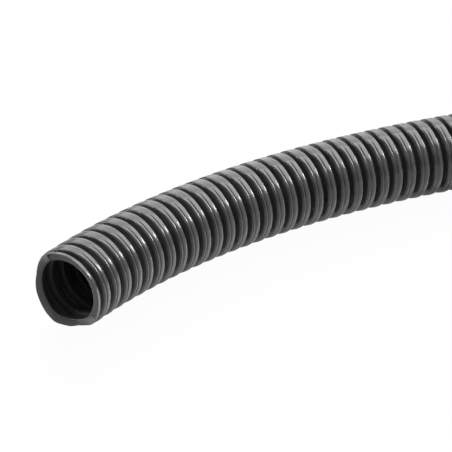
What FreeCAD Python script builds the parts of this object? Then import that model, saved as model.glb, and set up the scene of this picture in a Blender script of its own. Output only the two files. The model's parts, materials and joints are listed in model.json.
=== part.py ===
import FreeCAD, Part
import math
import os

# A metre of thin-walled corrugated plastic conduit, moulded as one piece.
# It lies flat on the floor. From the far end it runs straight along X, and towards
# the mouth it bends in plan, a little more with every wave. The mouth was cut by hand
# through the first crest, in passes of a knife that don't quite meet.
# Sizes are in millimetres and degrees.

SIZES = [
    ("outer_diameter", 25.0, "over the crests, the trade size"),
    ("wave_pitch", 5.15, "from one crest to the next along the axis"),
    ("wave_depth", 2.4, "from a crest down to a root, outside"),
    ("crest_top_width", 2.6, "flat of a crest along the axis"),
    ("crest_base_width", 3.4, "the same crest where it meets the roots"),
    ("wall_thickness", 0.4, "of the skin, square to its surface"),
    ("wave_count", 194.0, "whole waves in the length sold by the metre"),
    ("bent_wave_count", 57.0, "waves from the mouth to where the bend runs out"),
    ("bend_angle", 45.0, "turn of the whole bend in plan"),
    ("whole_pass_at", -0.25, "knife's first pass, along the axis from the first crest's middle"),
    ("lower_pass_at", 0.9, "deeper pass round the lower half and the +Y side"),
    ("lower_pass_edge", -3.0, "from the axis to where that pass stops"),
    ("lower_pass_roll", -33.0, "turn of that pass about the axis"),
    ("side_pass_at", 1.36, "pass on the +Y side, down to the crest's far shoulder"),
    ("side_pass_edge", 7.0, "from the axis to where that pass stops"),
    ("side_pass_roll", 15.0, "turn of that pass about the axis"),
    ("bottom_pass_at", 1.46, "last pass, which leaves a flat underneath"),
    ("bottom_pass_edge", 11.0, "from the axis to where that pass stops"),
    ("bottom_pass_roll", -107.0, "turn of that pass about the axis"),
]


def fill_sheet(doc):
    """Write every size once, each under its own name."""
    sheet = doc.addObject("Spreadsheet::Sheet", "sizes")
    for row, (alias, value, note) in enumerate(SIZES, start=1):
        sheet.set("A%d" % row, alias)
        sheet.set("B%d" % row, str(value))
        sheet.setAlias("B%d" % row, alias)
        sheet.set("C%d" % row, note)
    doc.recompute()
    return sheet


class Wall:
    """The corrugated wall's section, read from the sheet."""

    def __init__(self, sheet):
        self.pitch = float(sheet.wave_pitch)
        depth = float(sheet.wave_depth)
        thickness = float(sheet.wall_thickness)
        self.crest = float(sheet.outer_diameter) / 2.0
        self.root = self.crest - depth
        self.top_half = float(sheet.crest_top_width) / 2.0
        self.base_half = float(sheet.crest_base_width) / 2.0
        # The inner skin keeps the thickness square to the flanks.
        slope = (self.base_half - self.top_half) / depth
        shift = thickness * (slope - math.hypot(1.0, slope))
        self.inner_crest = self.crest - thickness
        self.inner_root = self.root - thickness
        self.inner_top_half = self.top_half + shift
        self.inner_base_half = self.base_half + shift

    def outside(self, middles, start, end):
        """Section points of the outer skin, with a crest at each middle."""
        return self.skin(middles, start, end, self.crest, self.root,
                         self.top_half, self.base_half)

    def inside(self, middles, start, end):
        """Section points of the inner skin, under the same crests."""
        return self.skin(middles, start, end, self.inner_crest, self.inner_root,
                         self.inner_top_half, self.inner_base_half)

    @staticmethod
    def skin(middles, start, end, crest, root, top_half, base_half):
        points = [(start, root)]
        for middle in middles:
            points += [(middle - base_half, root), (middle - top_half, crest),
                       (middle + top_half, crest), (middle + base_half, root)]
        return points + [(end, root)]

    def turned(self, middles, start, end):
        """Turn a straight run of the wall about the X axis."""
        outline = [FreeCAD.Vector(x, 0, r) for x, r in
                   self.outside(middles, start, end) + self.inside(middles, start, end)[::-1]]
        section = Part.Face(Part.makePolygon(outline + outline[:1]))
        return section.revolve(FreeCAD.Vector(0, 0, 0), FreeCAD.Vector(1, 0, 0), 360)


def beyond(wall, x, turn, side):
    """The space on one side of a plane that crosses the axis at x, for cutting off an end.

    The plane starts square to the axis and is turned in plan.
    """
    reach = 3.0 * wall.crest
    depth = 2.0 * wall.pitch
    low = 0.0 if side > 0 else -depth
    block = Part.makeBox(depth, 2 * reach, 2 * reach, FreeCAD.Vector(low, -reach, -reach))
    block.Placement = FreeCAD.Placement(FreeCAD.Vector(x, 0, 0), FreeCAD.Rotation(turn, 0, 0))
    return block


def knife_pass(wall, x, edge, roll):
    """The space that one pass clears: before x on the axis, and past a straight edge beside it."""
    reach = 3.0 * wall.crest
    depth = 2.0 * wall.pitch
    block = Part.makeBox(depth, reach - edge, 2 * reach, FreeCAD.Vector(x - depth, edge, -reach))
    block.Placement = FreeCAD.Placement(FreeCAD.Vector(0, 0, 0), FreeCAD.Rotation(0, 0, roll))
    return block


def mouth_cuts(wall, sheet):
    """All passes that the knife made through the first crest."""
    cuts = [beyond(wall, float(sheet.whole_pass_at), 0.0, -1)]
    for name in ("lower", "side", "bottom"):
        x, edge, roll = [float(getattr(sheet, "%s_pass_%s" % (name, word)))
                         for word in ("at", "edge", "roll")]
        cuts.append(knife_pass(wall, x, edge, roll))
    return cuts


def bent_wave(wall, near_cuts, turn_after):
    """One straight wave with its crest at X = 0, ended on slanting planes."""
    half = wall.pitch / 2.0
    spare = 0.5 * (half - wall.base_half)
    wave = wall.turned([0.0], -half - spare, half + spare)
    far_cut = beyond(wall, half, -turn_after / 2.0, 1)
    return wave.cut(near_cuts + [far_cut])


def bend_turns(angle, count):
    """Turn at each joint from the straight part to the mouth, growing evenly from none."""
    step = angle / sum(range(count))
    return [step * k for k in range(count)]


def build_conduit(sheet):
    """The whole conduit as one solid, its straight part starting at the origin."""
    wall = Wall(sheet)
    bent_count = int(round(sheet.bent_wave_count))
    straight_count = int(round(sheet.wave_count)) - bent_count
    turns = bend_turns(float(sheet.bend_angle), bent_count)

    middles = [wall.pitch * (i + 0.5) for i in range(straight_count)]
    straight = wall.turned(middles, 0.0, wall.pitch * straight_count)

    # Each bent wave is straight in itself, and meets its neighbours on the planes
    # that halve the turns, in the middle of the roots.
    waves = []
    heading = 0.0
    joint = FreeCAD.Vector(0, 0, 0)
    for k, turn in enumerate(turns):
        heading += turn
        if k + 1 < bent_count:
            near_cuts = [beyond(wall, -wall.pitch / 2.0, turns[k + 1] / 2.0, -1)]
        else:
            near_cuts = mouth_cuts(wall, sheet)
        wave = bent_wave(wall, near_cuts, turn)
        along = FreeCAD.Rotation(heading, 0, 0)
        crest = joint - along.multVec(FreeCAD.Vector(wall.pitch / 2.0, 0, 0))
        joint = joint - along.multVec(FreeCAD.Vector(wall.pitch, 0, 0))
        wave.Placement = FreeCAD.Placement(crest, along)
        waves.append(wave)
    return straight.multiFuse(waves).Solids[0]


def main():
    os.makedirs("parts", exist_ok=True)
    doc = FreeCAD.newDocument("corrugated_conduit")
    sheet = fill_sheet(doc)

    conduit = doc.addObject("Part::Feature", "conduit")
    conduit.Label = "conduit"
    conduit.Shape = build_conduit(sheet)

    # The origin is under the middle of the conduit, on the floor.
    extent = conduit.Shape.optimalBoundingBox(False, False)
    conduit.Placement = FreeCAD.Placement(
        FreeCAD.Vector(-extent.Center.x, -extent.Center.y, -extent.ZMin),
        FreeCAD.Rotation())

    doc.recompute()
    for item in doc.Objects:
        if "Invalid" in item.State or "Error" in item.State:
            raise RuntimeError("%s did not build" % item.Label)
    if conduit.Shape.isNull() or not conduit.Shape.isValid():
        raise RuntimeError("the conduit is not a sound solid")
    conduit.Shape.exportStep("parts/conduit.step")


main()
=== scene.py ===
"""Looks of a length of corrugated plastic conduit that lies on a white floor.

Lengths are in millimetres until a mesh, lamp or camera is made, which is in metres.
The wall is first built straight: x runs along the axis from the mouth's first root, and
y and z run across it. The trees then lay it along the conduit's own bent axis.
"""

import json
import logging
import math
from dataclasses import dataclass, replace
from enum import Enum
from typing import Any, Iterable, Sequence

import bmesh
import bpy
from mathutils import Matrix, Vector

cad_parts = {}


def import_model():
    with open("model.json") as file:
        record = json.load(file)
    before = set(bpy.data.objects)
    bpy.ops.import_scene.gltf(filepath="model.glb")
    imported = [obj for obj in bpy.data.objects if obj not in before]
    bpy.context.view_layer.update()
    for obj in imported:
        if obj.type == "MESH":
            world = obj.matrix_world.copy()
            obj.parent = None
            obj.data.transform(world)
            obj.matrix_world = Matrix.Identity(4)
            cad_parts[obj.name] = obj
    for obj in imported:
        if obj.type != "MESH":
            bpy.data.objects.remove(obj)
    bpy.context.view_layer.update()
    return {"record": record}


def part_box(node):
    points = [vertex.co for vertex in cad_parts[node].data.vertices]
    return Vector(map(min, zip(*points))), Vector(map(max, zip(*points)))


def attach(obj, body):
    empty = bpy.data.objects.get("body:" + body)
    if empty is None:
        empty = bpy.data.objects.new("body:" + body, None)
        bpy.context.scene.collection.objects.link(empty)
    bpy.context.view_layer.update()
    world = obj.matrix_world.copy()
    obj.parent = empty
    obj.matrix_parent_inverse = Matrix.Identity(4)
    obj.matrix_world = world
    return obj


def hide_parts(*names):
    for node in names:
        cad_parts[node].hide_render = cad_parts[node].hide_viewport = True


LOG = logging.getLogger("conduit")
MM = 0.001
BODY = "root"
NODE = "conduit"
# What the pieces remember of their straight build, for the finish: each point's place in
# millimetres, and how far it belongs to the inner skin, which the finish makes duller and darkens
# as painted shade.
STRAIGHT = "straight_mm"
INSIDE = "inside"
# Where the mould's halves meet, upwards round the axis from the side that faces -Y, and over
# how many degrees the crests change there.
SEAM_DEGREES = 72.0
SEAM_BLEND = 26.0
WELD_MM = 0.002

Pair = tuple[float, float]
Column = tuple[float, list[Pair]]
Triple = tuple[float, float, float]


class MouldHalf(Enum):
    """The two halves of the mould, which shape the crests a little differently.

    A member holds the sharp corners of a crest's side towards the mouth: the place of its foot
    along the axis from the crest's middle, then the places of its edge, the bead's end, the
    groove and the band's start, with their depths below the crest's top.
    """

    FRONT = (-2.2, ((-1.48, 0.08), (-0.58, 0.18), (-0.45, 0.29), (-0.25, 0.07)))
    BACK = (-2.52, ((-2.2, 0.0), (-0.58, 0.01), (-0.45, 0.03), (-0.25, 0.01)))


class Nodes:
    """Adds nodes to one tree, each by its type, settings and sockets."""

    def __init__(self, tree: bpy.types.NodeTree) -> None:
        """Start an empty tree.

        Args:
            tree: the node tree to fill; what it holds is cleared.
        """
        self.tree = tree
        tree.nodes.clear()

    def add(self, kind: str, settings: dict[str, Any] | None = None,
            **values: Any) -> bpy.types.Node:
        """Add one node.

        Args:
            kind: the node's type name.
            settings: attributes of the node, set before its sockets.
            values: socket values or links, by socket name with spaces as underscores.

        Returns:
            The new node.
        """
        node = self.tree.nodes.new(kind)
        for name, value in (settings or {}).items():
            setattr(node, name, value)
        for name, value in values.items():
            self.feed(node, name.replace("_", " "), value)
        return node

    def feed(self, node: bpy.types.Node, socket: str | int, value: Any) -> None:
        """Set or link one input of a node.

        Args:
            node: the node that takes the value.
            socket: the input's name, or its place among the inputs.
            value: a plain value, an output socket or a wrapped one.
        """
        if isinstance(socket, int):
            target = node.inputs[socket]
        else:
            target = next(s for s in node.inputs if s.name == socket and s.enabled)
        if isinstance(value, Wire):
            value = value.socket
        if isinstance(value, bpy.types.NodeSocket):
            self.tree.links.new(value, target)
        else:
            target.default_value = value


class Wire:
    """An output socket that takes part in Python expressions."""

    def __init__(self, nodes: Nodes, socket: bpy.types.NodeSocket) -> None:
        """Wrap a socket.

        Args:
            nodes: the tree that the maths nodes go to.
            socket: the number that this wire carries.
        """
        self.nodes = nodes
        self.socket = socket

    def maths(self, operation: str, *others: Any) -> "Wire":
        """Pass this number and others through one Math node.

        Args:
            operation: the Math node's operation.
            others: further inputs, wires or plain numbers.

        Returns:
            The result as a wire.
        """
        node = self.nodes.add("ShaderNodeMath", {"operation": operation})
        for place, value in enumerate((self, *others)):
            self.nodes.feed(node, place, value)
        return Wire(self.nodes, node.outputs[0])

    def __add__(self, other: Any) -> "Wire":
        """Sum."""
        return self.maths("ADD", other)

    def __sub__(self, other: Any) -> "Wire":
        """Difference."""
        return self.maths("SUBTRACT", other)

    def __rsub__(self, other: Any) -> "Wire":
        """Difference from a plain number."""
        return (self * -1.0) + other

    def __mul__(self, other: Any) -> "Wire":
        """Product."""
        return self.maths("MULTIPLY", other)

    def between(self, low: float, high: float) -> "Wire":
        """Rise smoothly from 0 to 1.

        Args:
            low: where the rise starts.
            high: where it ends.

        Returns:
            The result as a wire.
        """
        node = self.nodes.add("ShaderNodeMapRange", {"interpolation_type": "SMOOTHSTEP"})
        for place, value in enumerate((self, low, high, 0.0, 1.0)):
            self.nodes.feed(node, place, value)
        return Wire(self.nodes, node.outputs[0])


def clamped(value: float) -> float:
    """The nearest number from 0 to 1."""
    return max(0.0, min(1.0, value))


def eased(share: float) -> float:
    """Rise from 0 to 1 that starts and ends level."""
    return share * share * (3.0 - 2.0 * share)


def mixed(first: float, second: float, share: float) -> float:
    """The number that lies this share of the way from the first to the second."""
    return first + (second - first) * share


def rounded(corners: Sequence[Pair], radii: Sequence[float], steps: Sequence[int]) -> list[Pair]:
    """Round the inner corners of an open outline with arcs.

    Args:
        corners: the sharp outline.
        radii: a radius for each corner between the two ends.
        steps: the pieces of each arc.

    Returns:
        The points of the rounded outline.
    """
    points = [corners[0]]
    triples = zip(corners, corners[1:], corners[2:])
    for (before, corner, after), radius, count in zip(triples, radii, steps):
        here = Vector(corner)
        back = (Vector(before) - here).normalized()
        on = (Vector(after) - here).normalized()
        half = math.acos(max(-1.0, min(1.0, back.dot(on)))) / 2.0
        middle = here + (back + on).normalized() * radius / math.sin(half)
        start = here + back * radius / math.tan(half) - middle
        end = here + on * radius / math.tan(half) - middle
        sweep = start.angle_signed(end)
        for step in range(count + 1):
            turn = -sweep * step / count
            points.append((middle.x + start.x * math.cos(turn) - start.y * math.sin(turn),
                           middle.y + start.x * math.sin(turn) + start.y * math.cos(turn)))
    return points + [corners[-1]]


@dataclass(frozen=True)
class Detail:
    """How finely a stretch of the wall is meshed."""

    around: int
    shoulder: int
    foot: int
    inner: int


FINE = Detail(around=68, shoulder=5, foot=2, inner=3)
PLAIN = Detail(around=40, shoulder=2, foot=1, inner=1)


@dataclass(frozen=True)
class WaveSection:
    """One wave's section, from the middle of one root to the middle of the next.

    Crest, pitch, depth, top, base and wall are the solid's. The rest shapes the fine relief:
    the band from its peak to its far shoulder and foot, and the rounding of each corner.
    """

    crest: float
    pitch: float = 5.15
    depth: float = 2.4
    top_half: float = 1.3
    base_half: float = 1.7
    wall: float = 0.4
    band_peak: Pair = (0.40, 0.01)
    far_shoulder: Pair = (0.30, -0.20)
    far_foot: float = 0.22
    band_round: float = 3.0
    far_round: float = 0.55
    foot_round: float = 0.2
    inner_crest_round: float = 0.35
    ridge_round: float = 0.10
    groove_round: float = 0.05
    groove_edge_round: float = 0.12
    bead_round: float = 0.75
    plain_round: float = 0.35

    def near_corners(self, half: MouldHalf) -> list[Pair]:
        """Sharp corners of the crest's side towards the mouth, up to the wider band."""
        foot, edges = half.value
        return [(foot, self.crest - self.depth), *((x, self.crest - down) for x, down in edges)]

    def outside(self, back: float, detail: Detail) -> list[Pair]:
        """Outer skin: a bead on the mouth's side, a fine groove, and a wider band.

        Args:
            back: from 0 in the mould's front half, with bead and groove, to 1 behind the
                seam, where the crest is wider and plain.
            detail: the number of pieces in each rounding.

        Returns:
            Points as distance along the axis from the wave's start, and radius.
        """
        root, end = self.crest - self.depth, self.pitch / 2.0
        halves = zip(self.near_corners(MouldHalf.FRONT), self.near_corners(MouldHalf.BACK))
        near = [(mixed(a[0], b[0], back), mixed(a[1], b[1], back)) for a, b in halves]
        peak, shoulder = self.band_peak, self.far_shoulder
        corners = [(-end, root), *near, (peak[0], self.crest + peak[1]),
                   (self.top_half + shoulder[0], self.crest + shoulder[1]),
                   (self.base_half + self.far_foot, root), (end, root)]
        radii = (self.foot_round, mixed(self.bead_round, self.plain_round, back),
                 self.groove_round, self.groove_round, self.groove_edge_round,
                 self.band_round, self.far_round, self.foot_round)
        steps = (detail.foot, detail.shoulder, 1, 1, 1, 2, detail.shoulder - 1, detail.foot)
        return [(x + end, r) for x, r in rounded(corners, radii, steps)]

    def inside(self, detail: Detail) -> list[Pair]:
        """Inner skin, a wall's thickness inside the plain crest and roots.

        Args:
            detail: the number of pieces in each rounding.

        Returns:
            Points as distance along the axis from the wave's start, and radius.
        """
        slope = (self.base_half - self.top_half) / self.depth
        shift = self.wall * (slope - math.hypot(1.0, slope))
        top, base, end = self.top_half + shift, self.base_half + shift, self.pitch / 2.0
        crest, root = self.crest - self.wall, self.crest - self.depth - self.wall
        corners = [(-end, root), (-base, root), (-top, crest),
                   (top, crest), (base, root), (end, root)]
        radii = (self.ridge_round, *[self.inner_crest_round] * 2, self.ridge_round)
        return [(x + end, r) for x, r in rounded(corners, radii, [detail.inner] * 4)]


@dataclass(frozen=True)
class ConduitAxis:
    """The line that the conduit follows on the floor: straight, then bending to the mouth."""

    far_end: Triple
    pitch: float
    waves: int = 194
    bent_waves: int = 57
    bend_degrees: float = 45.0
    pieces_a_wave: int = 8

    def heading(self, waves_on: float) -> float:
        """Turn of the axis in radians, so many waves past the start of the bend."""
        step = math.radians(self.bend_degrees) / (self.bent_waves * (self.bent_waves - 1) / 2.0)
        return step * max(0.0, waves_on) ** 2 / 2.0

    def points(self) -> list[Triple]:
        """Follow the line back from the far end.

        Returns:
            Points from the mouth to the far end, in millimetres.
        """
        straight = (self.waves - self.bent_waves) * self.pitch
        x, y, z = self.far_end
        line = [(x, y, z), (x - straight, y, z)]
        x -= straight
        step = self.pitch / self.pieces_a_wave
        for piece in range(self.bent_waves * self.pieces_a_wave):
            turn = self.heading((piece + 0.5) / self.pieces_a_wave)
            x -= step * math.cos(turn)
            y -= step * math.sin(turn)
            line.append((x, y, z))
        return line[::-1]

    def curve(self) -> bpy.types.Object:
        """Make the axis as a curve object, for the trees to follow.

        Returns:
            The curve's object, to be deleted once the wall is built.
        """
        data = bpy.data.curves.new("axis", "CURVE")
        data.dimensions = "3D"
        line = self.points()
        spline = data.splines.new("POLY")
        spline.points.add(len(line) - 1)
        for place, point in zip(spline.points, line):
            place.co = (*(c * MM for c in point), 1.0)
        axis = bpy.data.objects.new("axis", data)
        bpy.context.scene.collection.objects.link(axis)
        return axis


class AxisTree:
    """Geometry Nodes tree that repeats a straight wave and lays it along the axis."""

    INPUTS = {
        "Wave": "NodeSocketGeometry",
        "Axis": "NodeSocketObject",
        "Waves": "NodeSocketInt",
        "Pitch": "NodeSocketFloat",
        "Start": "NodeSocketFloat",
        "Weld": "NodeSocketFloat",
        "Finish": "NodeSocketMaterial",
    }

    def __init__(self) -> None:
        """Build the tree with its named inputs."""
        self.tree = bpy.data.node_groups.new("waves_along_axis", "GeometryNodeTree")
        self.tree.is_modifier = True
        for name, kind in self.INPUTS.items():
            self.tree.interface.new_socket(name=name, in_out="INPUT", socket_type=kind)
        self.tree.interface.new_socket(name="Wall", in_out="OUTPUT",
                                       socket_type="NodeSocketGeometry")
        nodes = Nodes(self.tree)
        given = nodes.add("NodeGroupInput").outputs
        repeated = self.repeat(nodes, given)
        kept = self.remember(nodes, repeated)
        laid = self.follow(nodes, kept, given["Axis"])
        finished = nodes.add("GeometryNodeSetMaterial", Geometry=laid, Material=given["Finish"])
        ending = nodes.add("NodeGroupOutput")
        nodes.feed(ending, "Wall", finished.outputs["Geometry"])

    @staticmethod
    def repeat(nodes: Nodes, given: Any) -> bpy.types.NodeSocket:
        """Put one wave after another along x, and weld each to the next.

        Args:
            nodes: the tree's node maker.
            given: the tree's inputs.

        Returns:
            The socket with the straight run.
        """
        step = nodes.add("ShaderNodeCombineXYZ", X=given["Pitch"])
        first = nodes.add("ShaderNodeCombineXYZ", X=given["Start"])
        places = nodes.add("GeometryNodeMeshLine", {"mode": "OFFSET"}, Count=given["Waves"],
                           Start_Location=first.outputs[0], Offset=step.outputs[0])
        copies = nodes.add("GeometryNodeInstanceOnPoints", Points=places.outputs["Mesh"],
                           Instance=given["Wave"])
        real = nodes.add("GeometryNodeRealizeInstances", Geometry=copies.outputs["Instances"])
        welded = nodes.add("GeometryNodeMergeByDistance", Geometry=real.outputs["Geometry"],
                           Distance=given["Weld"])
        return welded.outputs["Geometry"]

    @staticmethod
    def remember(nodes: Nodes, wall: bpy.types.NodeSocket) -> bpy.types.NodeSocket:
        """Keep each point's straight place in millimetres, for the finish to read.

        Args:
            nodes: the tree's node maker.
            wall: the straight wall.

        Returns:
            The socket with the same wall and its attribute.
        """
        place = nodes.add("GeometryNodeInputPosition")
        scaled = nodes.add("ShaderNodeVectorMath", {"operation": "SCALE"},
                           Vector=place.outputs[0], Scale=1.0 / MM)
        stored = nodes.add("GeometryNodeStoreNamedAttribute",
                           {"data_type": "FLOAT_VECTOR", "domain": "POINT"},
                           Geometry=wall, Name=STRAIGHT, Value=scaled.outputs[0])
        return stored.outputs["Geometry"]

    @staticmethod
    def follow(nodes: Nodes, wall: bpy.types.NodeSocket,
               axis: bpy.types.NodeSocket) -> bpy.types.NodeSocket:
        """Move each point from its straight place to the same place along the axis.

        Args:
            nodes: the tree's node maker.
            wall: the straight wall.
            axis: the curve object.

        Returns:
            The socket with the laid wall.
        """
        line = nodes.add("GeometryNodeObjectInfo", {"transform_space": "ORIGINAL"}, Object=axis)
        place = nodes.add("GeometryNodeInputPosition")
        parts = nodes.add("ShaderNodeSeparateXYZ", Vector=place.outputs[0])
        on_axis = nodes.add("GeometryNodeSampleCurve", {"mode": "LENGTH"},
                            Curves=line.outputs["Geometry"], Length=parts.outputs["X"])
        left = nodes.add("ShaderNodeVectorMath", {"operation": "CROSS_PRODUCT"})
        nodes.feed(left, 0, (0.0, 0.0, 1.0))
        nodes.feed(left, 1, on_axis.outputs["Tangent"])
        aside = nodes.add("ShaderNodeVectorMath", {"operation": "SCALE"},
                          Vector=left.outputs[0], Scale=parts.outputs["Y"])
        above = nodes.add("ShaderNodeCombineXYZ", Z=parts.outputs["Z"])
        across = nodes.add("ShaderNodeVectorMath", {"operation": "ADD"})
        nodes.feed(across, 0, aside.outputs[0])
        nodes.feed(across, 1, above.outputs[0])
        total = nodes.add("ShaderNodeVectorMath", {"operation": "ADD"})
        nodes.feed(total, 0, on_axis.outputs["Position"])
        nodes.feed(total, 1, across.outputs[0])
        moved = nodes.add("GeometryNodeSetPosition", Geometry=wall, Position=total.outputs[0])
        return moved.outputs["Geometry"]

    def lay(self, straight: bpy.types.Object, **values: Any) -> None:
        """Run the tree on a straight piece and keep the result as its plain mesh.

        Args:
            straight: the object that holds the wave or wall.
            values: the tree's inputs by name.
        """
        modifier = straight.modifiers.new("waves", "NODES")
        modifier.node_group = self.tree
        for item in self.tree.interface.items_tree:
            if item.in_out == "INPUT" and item.name in values:
                modifier[item.identifier] = values[item.name]
        straight.update_tag()
        graph = bpy.context.evaluated_depsgraph_get()
        mesh = bpy.data.meshes.new_from_object(straight.evaluated_get(graph),
                                               preserve_all_data_layers=True, depsgraph=graph)
        straight.modifiers.clear()
        mesh.name = straight.name
        straight.data = mesh


def linked(name: str, bm: bmesh.types.BMesh) -> bpy.types.Object:
    """Turn a bmesh into an object in the scene.

    Args:
        name: the object's name.
        bm: the mesh, which is freed.

    Returns:
        The object.
    """
    mesh = bpy.data.meshes.new(name)
    bm.to_mesh(mesh)
    bm.free()
    piece = bpy.data.objects.new(name, mesh)
    bpy.context.scene.collection.objects.link(piece)
    return piece


def lathe(bm: bmesh.types.BMesh, columns: Sequence[Column], closed: bool,
          inside: Sequence[float] | None = None) -> None:
    """Join outlines that stand round the x axis into a skin.

    Args:
        bm: the mesh to add to.
        columns: outlines of (x, radius) with their angles, all with as many points.
        closed: the outline's last point meets its first.
        inside: for each point of an outline, how far it takes the inner skin's dullness and
            painted shade, 0 to 1.
    """
    layer = bm.verts.layers.float.get(INSIDE) or bm.verts.layers.float.new(INSIDE)
    rows = []
    for degrees, outline in columns:
        angle = math.radians(degrees)
        rows.append([bm.verts.new((x * MM, -math.cos(angle) * r * MM, math.sin(angle) * r * MM))
                     for x, r in outline])
        for vertex, share in zip(rows[-1], inside or ()):
            vertex[layer] = share
    points = len(rows[0])
    for place, here in enumerate(rows):
        there = rows[(place + 1) % len(rows)]
        for k in range(points if closed else points - 1):
            after = (k + 1) % points
            bm.faces.new((here[k], there[k], there[after], here[after])).smooth = True


def behind_seam(degrees: float) -> float:
    """How far the wall at an angle belongs to the mould's back half, from 0 to 1."""
    turned = (degrees - SEAM_DEGREES + SEAM_BLEND / 2.0) % 360.0
    return eased(clamped(turned / SEAM_BLEND) - clamped((turned - 180.0) / SEAM_BLEND))


def cap_open_ends(piece: bpy.types.Object) -> None:
    """Join the two skins at each open end, with a sharp edge round the flat ring.

    Args:
        piece: a run of the wall whose ends are open.
    """
    bm = bmesh.new()
    bm.from_mesh(piece.data)
    layer = bm.verts.layers.float_vector[STRAIGHT]
    rims = [edge for edge in bm.edges if edge.is_boundary]
    along = {edge: edge.verts[0][layer].x for edge in rims}
    middle = (min(along.values()) + max(along.values())) / 2.0
    for far in (False, True):
        ring = [edge for edge in rims if (along[edge] > middle) == far]
        bmesh.ops.bridge_loops(bm, edges=ring)
        for edge in ring:
            edge.smooth = False
    bmesh.ops.recalc_face_normals(bm, faces=bm.faces)
    bm.to_mesh(piece.data)
    bm.free()


def finish_piece(piece: bpy.types.Object) -> None:
    """Tell the frame what the piece is.

    Args:
        piece: a finished piece of the conduit's wall.
    """
    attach(piece, BODY)
    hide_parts(NODE)
    LOG.info("%s: %d faces", piece.name, len(piece.data.polygons))


@dataclass
class ConduitRun:
    """A run of whole waves."""

    name: str
    section: WaveSection
    first_wave: int
    waves: int
    detail: Detail

    def build(self, tree: AxisTree, axis: bpy.types.Object,
              finish: bpy.types.Material) -> bpy.types.Object:
        """Make the run and lay it along the axis.

        Args:
            tree: the tree that repeats and lays.
            axis: the axis curve.
            finish: the wall's material.

        Returns:
            The finished object.
        """
        bm = bmesh.new()
        angles = [360.0 * k / self.detail.around for k in range(self.detail.around)]
        outer = [(degrees, self.section.outside(behind_seam(degrees), self.detail))
                 for degrees in angles]
        inner = self.section.inside(self.detail)[::-1]
        lathe(bm, outer, closed=False)
        lathe(bm, [(degrees, inner) for degrees in angles], closed=False,
              inside=[1.0] * len(inner))
        piece = linked(self.name, bm)
        tree.lay(piece, Axis=axis, Waves=self.waves, Pitch=self.section.pitch * MM,
                 Start=self.first_wave * self.section.pitch * MM, Weld=WELD_MM * MM,
                 Finish=finish)
        cap_open_ends(piece)
        finish_piece(piece)
        return piece


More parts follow.
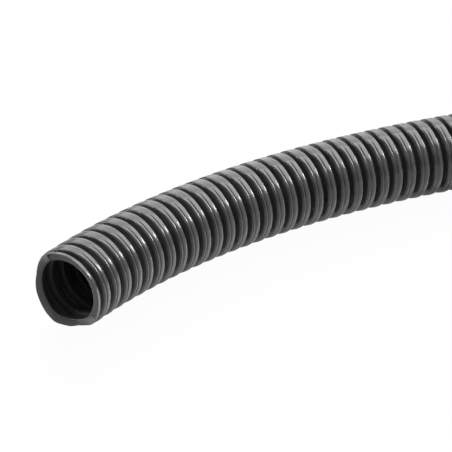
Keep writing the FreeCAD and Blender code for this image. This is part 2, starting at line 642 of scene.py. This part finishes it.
@dataclass
class CutMouth:
    """The first wave, cut through by hand.

    Where the cut is shallow, the rim is the crest's own edge. Where it is deep, a web closes
    the crest down to the bore, and the rim widens into a funnel.
    """

    section: WaveSection
    name: str = "conduit_mouth"
    around: int = 144
    rows: int = 34
    # The rim's outer lip, on the crest's band and on its steep far flank, and how far past
    # the crest's middle the band ends.
    band_lip: float = 0.16
    flank_lip: float = 0.06
    band_end: float = 1.2
    band_blend: float = 0.4
    # How deep the cut is where the web starts and where it is whole, with its foot.
    web_from: float = -0.12
    web_to: float = 1.5
    web_foot: float = 0.62
    # The funnel's length without and with the web, and where its curve is pulled to, as
    # shares of its length and of its height.
    funnel: Pair = (0.22, 0.58)
    funnel_pull: Pair = (0.55, 0.08)
    round_steps: int = 6
    # How fast the rim loses the inner skin's dullness and painted shade, step by step, and what
    # its lip keeps.
    rim_shade_step: float = 0.13
    lip_shade: float = 0.1
    # The knife's way round the rim: degrees from the side that faces -Y, upwards, and
    # millimetres from the crest's middle towards the far end.
    knife: tuple[Pair, ...] = (
        (-8.0, -0.15), (104.0, -0.15), (111.0, -0.11), (116.0, 0.05), (120.0, 0.45),
        (124.0, 0.90), (129.0, 1.24), (135.0, 1.46), (143.0, 1.64), (150.0, 1.74),
        (163.0, 1.84), (184.0, 1.73), (200.0, 1.58), (212.0, 1.46), (222.0, 1.26),
        (232.0, 0.97), (239.0, 0.83), (247.0, 0.74), (252.0, 0.84), (257.0, 1.20),
        (264.0, 1.50), (274.0, 1.66), (289.0, 1.84), (303.0, 1.73), (312.0, 1.55),
        (319.0, 1.30), (325.0, 0.88), (331.0, 0.42), (337.0, 0.06), (343.0, -0.11),
        (352.0, -0.15))
    # The hand's tremble: its size, what is left of it in the deep part, and its waves round
    # the rim with their phases and weights.
    tremble: float = 0.03
    deep_tremble: float = 0.0045
    tremble_waves: tuple[Triple, ...] = ((5.0, 1.0, 1.0), (11.0, 0.0, 0.6), (23.0, 0.0, 0.4))

    def cut_at(self, degrees: float) -> float:
        """Follow the knife round the rim, on a smooth curve through its keys.

        Args:
            degrees: the angle, upwards from the side that faces -Y.

        Returns:
            How far past the crest's middle the cut goes there.
        """
        low = self.knife[0][0]
        turned = (degrees - low) % 360.0 + low
        (before, before_cut), (after, after_cut) = self.knife[-2], self.knife[1]
        keys = ((before - 360.0, before_cut), *self.knife, (after + 360.0, after_cut))
        place = next(k for k in range(1, len(keys) - 2)
                     if keys[k][0] <= turned <= keys[k + 1][0])
        slopes = [(b[1] - a[1]) / (b[0] - a[0]) for a, b in zip(keys, keys[1:])]
        (start, low_cut), (end, high_cut) = keys[place], keys[place + 1]
        span = end - start
        share = (turned - start) / span
        leave, arrive = (0.0 if a * b <= 0.0 else 2.0 * a * b / (a + b)
                         for a, b in zip(slopes[place - 1:place + 1], slopes[place:place + 2]))
        cut = (mixed(low_cut, high_cut, eased(share)) + span * leave * share * (1.0 - share) ** 2
               - span * arrive * share ** 2 * (1.0 - share))
        angle = math.radians(turned)
        hand = sum(weight * math.sin(count * angle + phase)
                   for count, phase, weight in self.tremble_waves)
        return cut + hand * (self.deep_tremble if cut > self.band_end else self.tremble)

    def clipped(self, outline: Sequence[Pair], start: float) -> list[Pair]:
        """Keep the part of an outline past the cut, as an even number of points.

        Args:
            outline: points in the order of x.
            start: where the knife went through, along x.

        Returns:
            Evenly spaced points, as many as there are rows.
        """
        kept: list[Pair] = []
        for (xa, ra), (xb, rb) in zip(outline, outline[1:]):
            if xa <= start < xb:
                share = (start - xa) / (xb - xa)
                kept = [(start, mixed(ra, rb, share))]
            if xb > start:
                kept.append((xb, rb))
        lengths = [0.0]
        for a, b in zip(kept, kept[1:]):
            lengths.append(lengths[-1] + math.hypot(b[0] - a[0], b[1] - a[1]))
        spaced = []
        for row in range(self.rows):
            wanted = lengths[-1] * row / (self.rows - 1)
            k = max(i for i in range(len(kept) - 1) if lengths[i] <= wanted + 1e-9)
            share = (wanted - lengths[k]) / (lengths[k + 1] - lengths[k])
            spaced.append((mixed(kept[k][0], kept[k + 1][0], share),
                           mixed(kept[k][1], kept[k + 1][1], share)))
        return spaced

    def column(self, degrees: float) -> list[Pair]:
        """Draw the wall's closed outline at one angle round the rim.

        Args:
            degrees: the angle, upwards from the side that faces -Y.

        Returns:
            Points of the outer skin, the end ring, the inner skin and the cut rim.
        """
        past = self.cut_at(degrees)
        cut = self.section.pitch / 2.0 + past
        web = eased(clamped((past - self.web_from) / (self.web_to - self.web_from)))
        foot = mixed(self.section.far_foot, self.web_foot, web)
        ceiling = self.section.crest - self.section.wall - self.section.depth * web
        lip = mixed(self.flank_lip, self.band_lip,
                    clamped((self.band_end - past) / self.band_blend))
        funnel = mixed(*self.funnel, web)
        outer = self.clipped(replace(self.section, far_foot=foot).outside(0.0, FINE), cut + lip)
        inner = self.clipped([(x, min(r, ceiling)) for x, r in self.section.inside(FINE)],
                             cut + funnel)
        out = []
        for k in range(self.round_steps):
            turn = math.radians(90.0 * k / self.round_steps)
            out.append((cut + lip * (1.0 - math.cos(turn)),
                        outer[0][1] - lip * (1.0 - math.sin(turn))))
        pull = (cut + self.funnel_pull[0] * funnel,
                mixed(inner[0][1], out[0][1], self.funnel_pull[1]))
        return outer + inner[::-1] + self.funnel_curve(inner[0], pull, out[0]) + out

    def funnel_curve(self, start: Pair, pull: Pair, end: Pair) -> list[Pair]:
        """Draw the rim between the inner skin and the lip.

        Args:
            start: where the inner skin begins.
            pull: the point that the curve bends towards.
            end: where the lip begins.

        Returns:
            Points on the curve, without its two ends.
        """
        points = []
        for k in range(1, self.round_steps + 1):
            t = k / (self.round_steps + 1)
            shares = ((1.0 - t) ** 2, 2.0 * t * (1.0 - t), t * t)
            points.append(tuple(shares[0] * a + shares[1] * b + shares[2] * c
                                for a, b, c in zip(start, pull, end)))
        return points

    def build(self, tree: AxisTree, axis: bpy.types.Object,
              finish: bpy.types.Material) -> bpy.types.Object:
        """Make the cut wave and lay it along the axis.

        Args:
            tree: the tree that lays it.
            axis: the axis curve.
            finish: the wall's material.

        Returns:
            The finished object.
        """
        bm = bmesh.new()
        angles = [360.0 * k / self.around for k in range(self.around)]
        columns = [(degrees, self.column(degrees)) for degrees in angles]
        # Painted shade: the rim's funnel fades from the inner skin's dark colour and dullness,
        # and the lip keeps a little.
        rim = [1.0 - self.rim_shade_step * k for k in range(1, self.round_steps + 1)]
        lathe(bm, columns, closed=True, inside=[0.0] * self.rows + [1.0] * self.rows + rim
              + [self.lip_shade] * self.round_steps)
        bmesh.ops.recalc_face_normals(bm, faces=bm.faces)
        # Both edges of the flat end ring are sharp: they lie at the end, at one radius each.
        end = self.section.pitch * MM
        for edge in bm.edges:
            here, there = (vertex.co for vertex in edge.verts)
            at_end = abs(here.x - end) < 1e-7 and abs(there.x - end) < 1e-7
            if at_end and abs(math.hypot(*here.yz) - math.hypot(*there.yz)) < 1e-6:
                edge.smooth = False
        piece = linked(self.name, bm)
        tree.lay(piece, Axis=axis, Waves=1, Pitch=end, Start=0.0, Weld=WELD_MM * MM,
                 Finish=finish)
        finish_piece(piece)
        return piece


@dataclass(frozen=True)
class GreyPlastic:
    """Semi-gloss grey plastic, as it comes out of the corrugating moulds.

    Streaks and the mould's seam run through the pieces' straight places, in millimetres.
    Streaks and clouds mix the two tones, and the inner skin is duller and darker, its darker
    colour being painted shade for the shade inside the bore.
    """

    name: str = "grey_conduit_plastic"
    dark: Triple = (0.030, 0.030, 0.0305)
    light: Triple = (0.046, 0.0455, 0.0465)
    inside_painted_shade: Triple = (0.019, 0.0185, 0.0188)
    roughness: float = 0.19
    streak_roughness: float = 0.08
    inside_roughness: float = 0.30
    refraction: float = 1.6
    gloss_level: float = 0.8
    seam_half_width: float = 0.16
    seam_jog: float = 0.35
    streaks_along: float = 4.2
    streaks_around: float = 0.10
    streak_octaves: float = 3.0
    streak_share: float = 0.6
    cloud_scale: float = 0.045
    cloud_octaves: float = 2.0
    tone_spread: Pair = (0.28, 0.72)
    noise_roughness: float = 0.55
    bump_mm: float = 0.012
    streak_height: float = 0.5
    seam_height: float = 2.5

    def material(self) -> bpy.types.Material:
        """Make the material.

        Returns:
            The material with its node tree.
        """
        material = bpy.data.materials.new(self.name)
        material.use_nodes = True
        nodes = Nodes(material.node_tree)
        place = nodes.add("ShaderNodeAttribute", {"attribute_name": STRAIGHT}).outputs["Vector"]
        across = self.across_seam(nodes, place)
        seam = 1.0 - across.maths("ABSOLUTE").between(0.0, self.seam_half_width)
        streaks = self.noise(nodes, self.jogged(nodes, place, across), 1.0, self.streak_octaves)
        clouds = self.noise(nodes, place, self.cloud_scale, self.cloud_octaves)
        tone = streaks * self.streak_share + clouds * (1.0 - self.streak_share)
        inside = Wire(nodes,
                      nodes.add("ShaderNodeAttribute", {"attribute_name": INSIDE}).outputs["Fac"])
        outer_tone = self.blend(nodes, tone.between(*self.tone_spread), self.dark, self.light)
        bump = nodes.add("ShaderNodeBump", Strength=1.0, Distance=self.bump_mm * MM)
        nodes.feed(bump, "Height", streaks * self.streak_height + seam * self.seam_height)
        shader = nodes.add("ShaderNodeBsdfPrincipled", Normal=bump.outputs["Normal"])
        # Painted shade: the inner skin, and the rim in part, get a darker base colour for the
        # shade inside the bore.
        nodes.feed(shader, "Base Color", self.blend(nodes, inside, outer_tone, self.inside_painted_shade))
        nodes.feed(shader, "Roughness", streaks * self.streak_roughness
                   + inside * self.inside_roughness + self.roughness)
        nodes.feed(shader, "IOR", self.refraction)
        nodes.feed(shader, "Specular IOR Level", self.gloss_level)
        output = nodes.add("ShaderNodeOutputMaterial")
        nodes.feed(output, "Surface", shader.outputs["BSDF"])
        return material

    @staticmethod
    def blend(nodes: Nodes, share: Wire, first: Any, second: Triple) -> bpy.types.NodeSocket:
        """Mix two colours.

        Args:
            nodes: the tree's node maker.
            share: how much of the second colour shows.
            first: a colour, or the socket of one.
            second: the other colour.

        Returns:
            The mixed colour's socket.
        """
        node = nodes.add("ShaderNodeMix", {"data_type": "RGBA"})
        nodes.feed(node, "Factor", share)
        nodes.feed(node, "A", (*first, 1.0) if isinstance(first, tuple) else first)
        nodes.feed(node, "B", (*second, 1.0))
        return node.outputs["Result"]

    def across_seam(self, nodes: Nodes, place: bpy.types.NodeSocket) -> Wire:
        """Measure from the plane where the mould's halves meet.

        Args:
            nodes: the tree's node maker.
            place: straight places.

        Returns:
            The signed distance in millimetres, positive behind the plane.
        """
        turn = math.radians(SEAM_DEGREES)
        node = nodes.add("ShaderNodeVectorMath", {"operation": "DOT_PRODUCT"})
        nodes.feed(node, 0, place)
        nodes.feed(node, 1, (0.0, math.sin(turn), math.cos(turn)))
        return Wire(nodes, node.outputs["Value"])

    def jogged(self, nodes: Nodes, place: bpy.types.NodeSocket,
               across: Wire) -> bpy.types.NodeSocket:
        """Make streak coordinates: fine along the axis, long round it, stepped at the seam.

        Args:
            nodes: the tree's node maker.
            place: straight places.
            across: distance from the seam's plane.

        Returns:
            The coordinates' socket.
        """
        step = across.maths("GREATER_THAN", 0.0) * self.seam_jog
        shift = nodes.add("ShaderNodeCombineXYZ", X=step)
        moved = nodes.add("ShaderNodeVectorMath", {"operation": "ADD"})
        nodes.feed(moved, 0, place)
        nodes.feed(moved, 1, shift.outputs[0])
        scaled = nodes.add("ShaderNodeVectorMath", {"operation": "MULTIPLY"})
        nodes.feed(scaled, 0, moved.outputs[0])
        nodes.feed(scaled, 1, (self.streaks_along, self.streaks_around, self.streaks_around))
        return scaled.outputs[0]

    def noise(self, nodes: Nodes, place: bpy.types.NodeSocket, scale: float,
              detail: float) -> Wire:
        """Make a noise from 0 to 1.

        Args:
            nodes: the tree's node maker.
            place: where the noise is read.
            scale: cells a unit of place.
            detail: octaves.

        Returns:
            The noise as a wire.
        """
        node = nodes.add("ShaderNodeTexNoise", {"noise_dimensions": "3D"}, Vector=place,
                         Scale=scale, Detail=detail, Roughness=self.noise_roughness)
        return Wire(nodes, node.outputs[0])


@dataclass(frozen=True)
class WhiteFloor:
    """Glossy white floor, which the camera sees as white with a faint shadow.

    The plastic mirrors it as dim, and as lighter under and behind the conduit, where the floor
    shows a painted glow to glossy rays alone, which lights the lower edges of the crests. That
    part starts at a slanting line and at a place along X, in metres.
    """

    name: str = "white_floor"
    half_width: float = 6.0
    colour: Triple = (0.50, 0.50, 0.50)
    gloss_colour: Triple = (0.90, 0.90, 0.90)
    gloss: float = 0.58
    roughness: float = 0.45
    own_white: float = 0.97
    mirrored_white: float = 0.10
    painted_under_glow: float = 0.42
    under_slant: float = 0.5
    under_aside: Pair = (0.188, 0.202)
    under_along: Pair = (-0.500, -0.480)

    def build(self) -> bpy.types.Object:
        """Make the floor under the conduit.

        Returns:
            The floor's object.
        """
        bm = bmesh.new()
        corners = ((-1, -1), (1, -1), (1, 1), (-1, 1))
        bm.faces.new([bm.verts.new((x * self.half_width, y * self.half_width, 0.0))
                      for x, y in corners])
        floor = linked(self.name, bm)
        floor.data.materials.append(self.material())
        return floor

    def material(self) -> bpy.types.Material:
        """Make the floor's material.

        Returns:
            The material with its node tree.
        """
        material = bpy.data.materials.new(self.name)
        material.use_nodes = True
        nodes = Nodes(material.node_tree)
        rays = nodes.add("ShaderNodeLightPath").outputs
        seen = Wire(nodes, rays["Is Camera Ray"]) * self.own_white
        place = nodes.add("ShaderNodeTexCoord").outputs["Object"]
        parts = nodes.add("ShaderNodeSeparateXYZ", Vector=place).outputs
        along = Wire(nodes, parts["X"])
        aside = Wire(nodes, parts["Y"]) - along * self.under_slant
        # Painted glow: a patch under and behind the conduit that glows for reflections only.
        under = aside.between(*self.under_aside) * along.between(*self.under_along)
        mirrored = (Wire(nodes, rays["Is Glossy Ray"])
                    * (under * self.painted_under_glow + self.mirrored_white))
        matt = nodes.add("ShaderNodeBsdfDiffuse", Color=(*self.colour, 1.0))
        glossy = nodes.add("ShaderNodeBsdfGlossy", Color=(*self.gloss_colour, 1.0),
                           Roughness=self.roughness)
        surface = nodes.add("ShaderNodeMixShader")
        nodes.feed(surface, 0, self.gloss)
        nodes.feed(surface, 1, matt.outputs[0])
        nodes.feed(surface, 2, glossy.outputs[0])
        white = nodes.add("ShaderNodeEmission", Color=(1.0, 1.0, 1.0, 1.0), Strength=1.0)
        whole = nodes.add("ShaderNodeMixShader")
        nodes.feed(whole, 0, seen + mirrored)
        nodes.feed(whole, 1, surface.outputs[0])
        nodes.feed(whole, 2, white.outputs[0])
        output = nodes.add("ShaderNodeOutputMaterial")
        nodes.feed(output, "Surface", whole.outputs[0])
        return material


@dataclass(frozen=True)
class Softbox:
    """A rectangular lamp that faces a point of the conduit, in metres and watts.

    It hangs at a distance toward a direction, and its long side lies along another.
    """

    name: str
    toward: Triple
    distance: float
    length: float
    width: float
    watts: float
    along: Triple = (-0.54, 0.81, -0.22)

    def build(self, target: Vector) -> bpy.types.Object:
        """Hang the lamp.

        Args:
            target: the point that it faces, in metres.

        Returns:
            The lamp's object.
        """
        data = bpy.data.lights.new(self.name, "AREA")
        data.shape = "RECTANGLE"
        data.size = self.length
        data.size_y = self.width
        data.energy = self.watts
        lamp = bpy.data.objects.new(self.name, data)
        away = Vector(self.toward).normalized()
        side = Vector(self.along)
        side = (side - away * side.dot(away)).normalized()
        turn = Matrix((side, away.cross(side), away)).transposed()
        lamp.location = target + away * self.distance
        lamp.rotation_mode = "QUATERNION"
        lamp.rotation_quaternion = turn.to_quaternion()
        bpy.context.scene.collection.objects.link(lamp)
        return lamp


@dataclass
class Studio:
    """The floor, lamps and surroundings of a plain product photograph."""

    target: Vector
    surroundings: float = 0.15
    lamps: tuple[Softbox, ...] = (
        Softbox("key", (0.866, 0.172, 0.470), 1.1, 0.18, 0.18, 2.3),
        Softbox("overhead", (0.51, 0.22, 0.83), 1.36, 1.35, 1.4, 18.0),
        Softbox("behind", (0.12, 0.86, 0.49), 1.5, 1.1, 1.4, 7.5),
        Softbox("right", (0.93, -0.20, 0.31), 1.5, 1.9, 1.2, 3.2, along=(-0.2, -0.98, 0.0)),
        Softbox("left_spot", (-0.74, 0.17, 0.65), 1.3, 0.25, 0.25, 2.0, along=(0.2, -0.98, 0.0)),
        Softbox("left", (-0.85, 0.35, 0.40), 1.5, 0.9, 0.9, 7.5, along=(0.4, -0.9, 0.0)),
        Softbox("front", (-0.30, -0.66, 0.69), 1.4, 1.0, 0.6, 1.8, along=(0.9, -0.43, 0.0)),
    )

    def build(self) -> None:
        """Set up the whole studio."""
        WhiteFloor().build()
        for lamp in self.lamps:
            lamp.build(self.target)
        self.build_world()
        bpy.context.scene.view_settings.view_transform = "Standard"

    def build_world(self) -> None:
        """Make surroundings that light softly and look white to the camera."""
        world = bpy.data.worlds.new("surroundings")
        bpy.context.scene.world = world
        world.use_nodes = True
        nodes = Nodes(world.node_tree)
        camera = nodes.add("ShaderNodeLightPath").outputs["Is Camera Ray"]
        both = nodes.add("ShaderNodeMixShader")
        nodes.feed(both, 0, camera)
        for place, strength in enumerate((self.surroundings, 1.0), start=1):
            sky = nodes.add("ShaderNodeBackground", Color=(1.0, 1.0, 1.0, 1.0), Strength=strength)
            nodes.feed(both, place, sky.outputs[0])
        output = nodes.add("ShaderNodeOutputWorld")
        nodes.feed(output, "Surface", both.outputs[0])


@dataclass(frozen=True)
class PhotoCamera:
    """The camera at the photograph's place: aim and distance, angles, and lens."""

    aim: Triple = (-431.11, -7.99, 12.5)
    distance: float = 605.48
    azimuth: float = -12.223
    rise: float = 27.994
    lens: float = 156.715
    sensor: float = 36.0
    clip_metres: Pair = (0.01, 50.0)

    def build(self) -> bpy.types.Object:
        """Place the camera and make it the scene's own.

        Returns:
            The camera's object.
        """
        data = bpy.data.cameras.new("photo_camera")
        data.lens = self.lens
        data.sensor_width = self.sensor
        data.clip_start, data.clip_end = self.clip_metres
        camera = bpy.data.objects.new("photo_camera", data)
        turn, rise = math.radians(self.azimuth), math.radians(self.rise)
        back = Vector((math.sin(turn) * math.cos(rise), -math.cos(turn) * math.cos(rise),
                       math.sin(rise)))
        camera.location = Vector(self.aim) * MM + back * self.distance * MM
        camera.rotation_mode = "QUATERNION"
        camera.rotation_quaternion = (-back).to_track_quat("-Z", "Y")
        bpy.context.scene.collection.objects.link(camera)
        bpy.context.scene.camera = camera
        return camera


@dataclass
class Conduit:
    """The whole conduit: cut mouth, finely meshed near run and plainer rest."""

    record: dict[str, Any]
    box: tuple[Vector, Vector]
    runs: tuple[tuple[str, int, Detail], ...] = (
        ("conduit_near_run", 31, FINE),
        ("conduit_middle_run", 81, PLAIN),
        ("conduit_far_run", 81, PLAIN),
    )

    def axis_and_section(self) -> tuple[ConduitAxis, WaveSection]:
        """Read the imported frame.

        Returns:
            The axis and the wave's section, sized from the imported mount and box.
        """
        mount = next(m for m in self.record["mounts"] if m["name"] == "coupling_end")
        section = WaveSection(crest=mount["dims"]["r_mm"])
        far_end = (self.box[1].x / MM, mount["pos_m"][1] / MM, mount["pos_m"][2] / MM)
        return ConduitAxis(far_end=far_end, pitch=section.pitch), section

    def build(self) -> None:
        """Build every piece of the wall and drop the helper curve."""
        line, section = self.axis_and_section()
        axis = line.curve()
        tree = AxisTree()
        finish = GreyPlastic().material()
        CutMouth(section).build(tree, axis, finish)
        first = 1
        for name, waves, detail in self.runs:
            ConduitRun(name, section, first, waves, detail).build(tree, axis, finish)
            first += waves
        bpy.data.objects.remove(axis)


def main() -> None:
    """Build the conduit's looks, the studio and the camera."""
    logging.basicConfig(level=logging.INFO, format="%(name)s: %(message)s")
    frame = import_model()
    Conduit(frame["record"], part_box(NODE)).build()
    camera = PhotoCamera()
    Studio(target=Vector(camera.aim) * MM).build()
    camera.build()


if __name__ == "__main__":
    main()
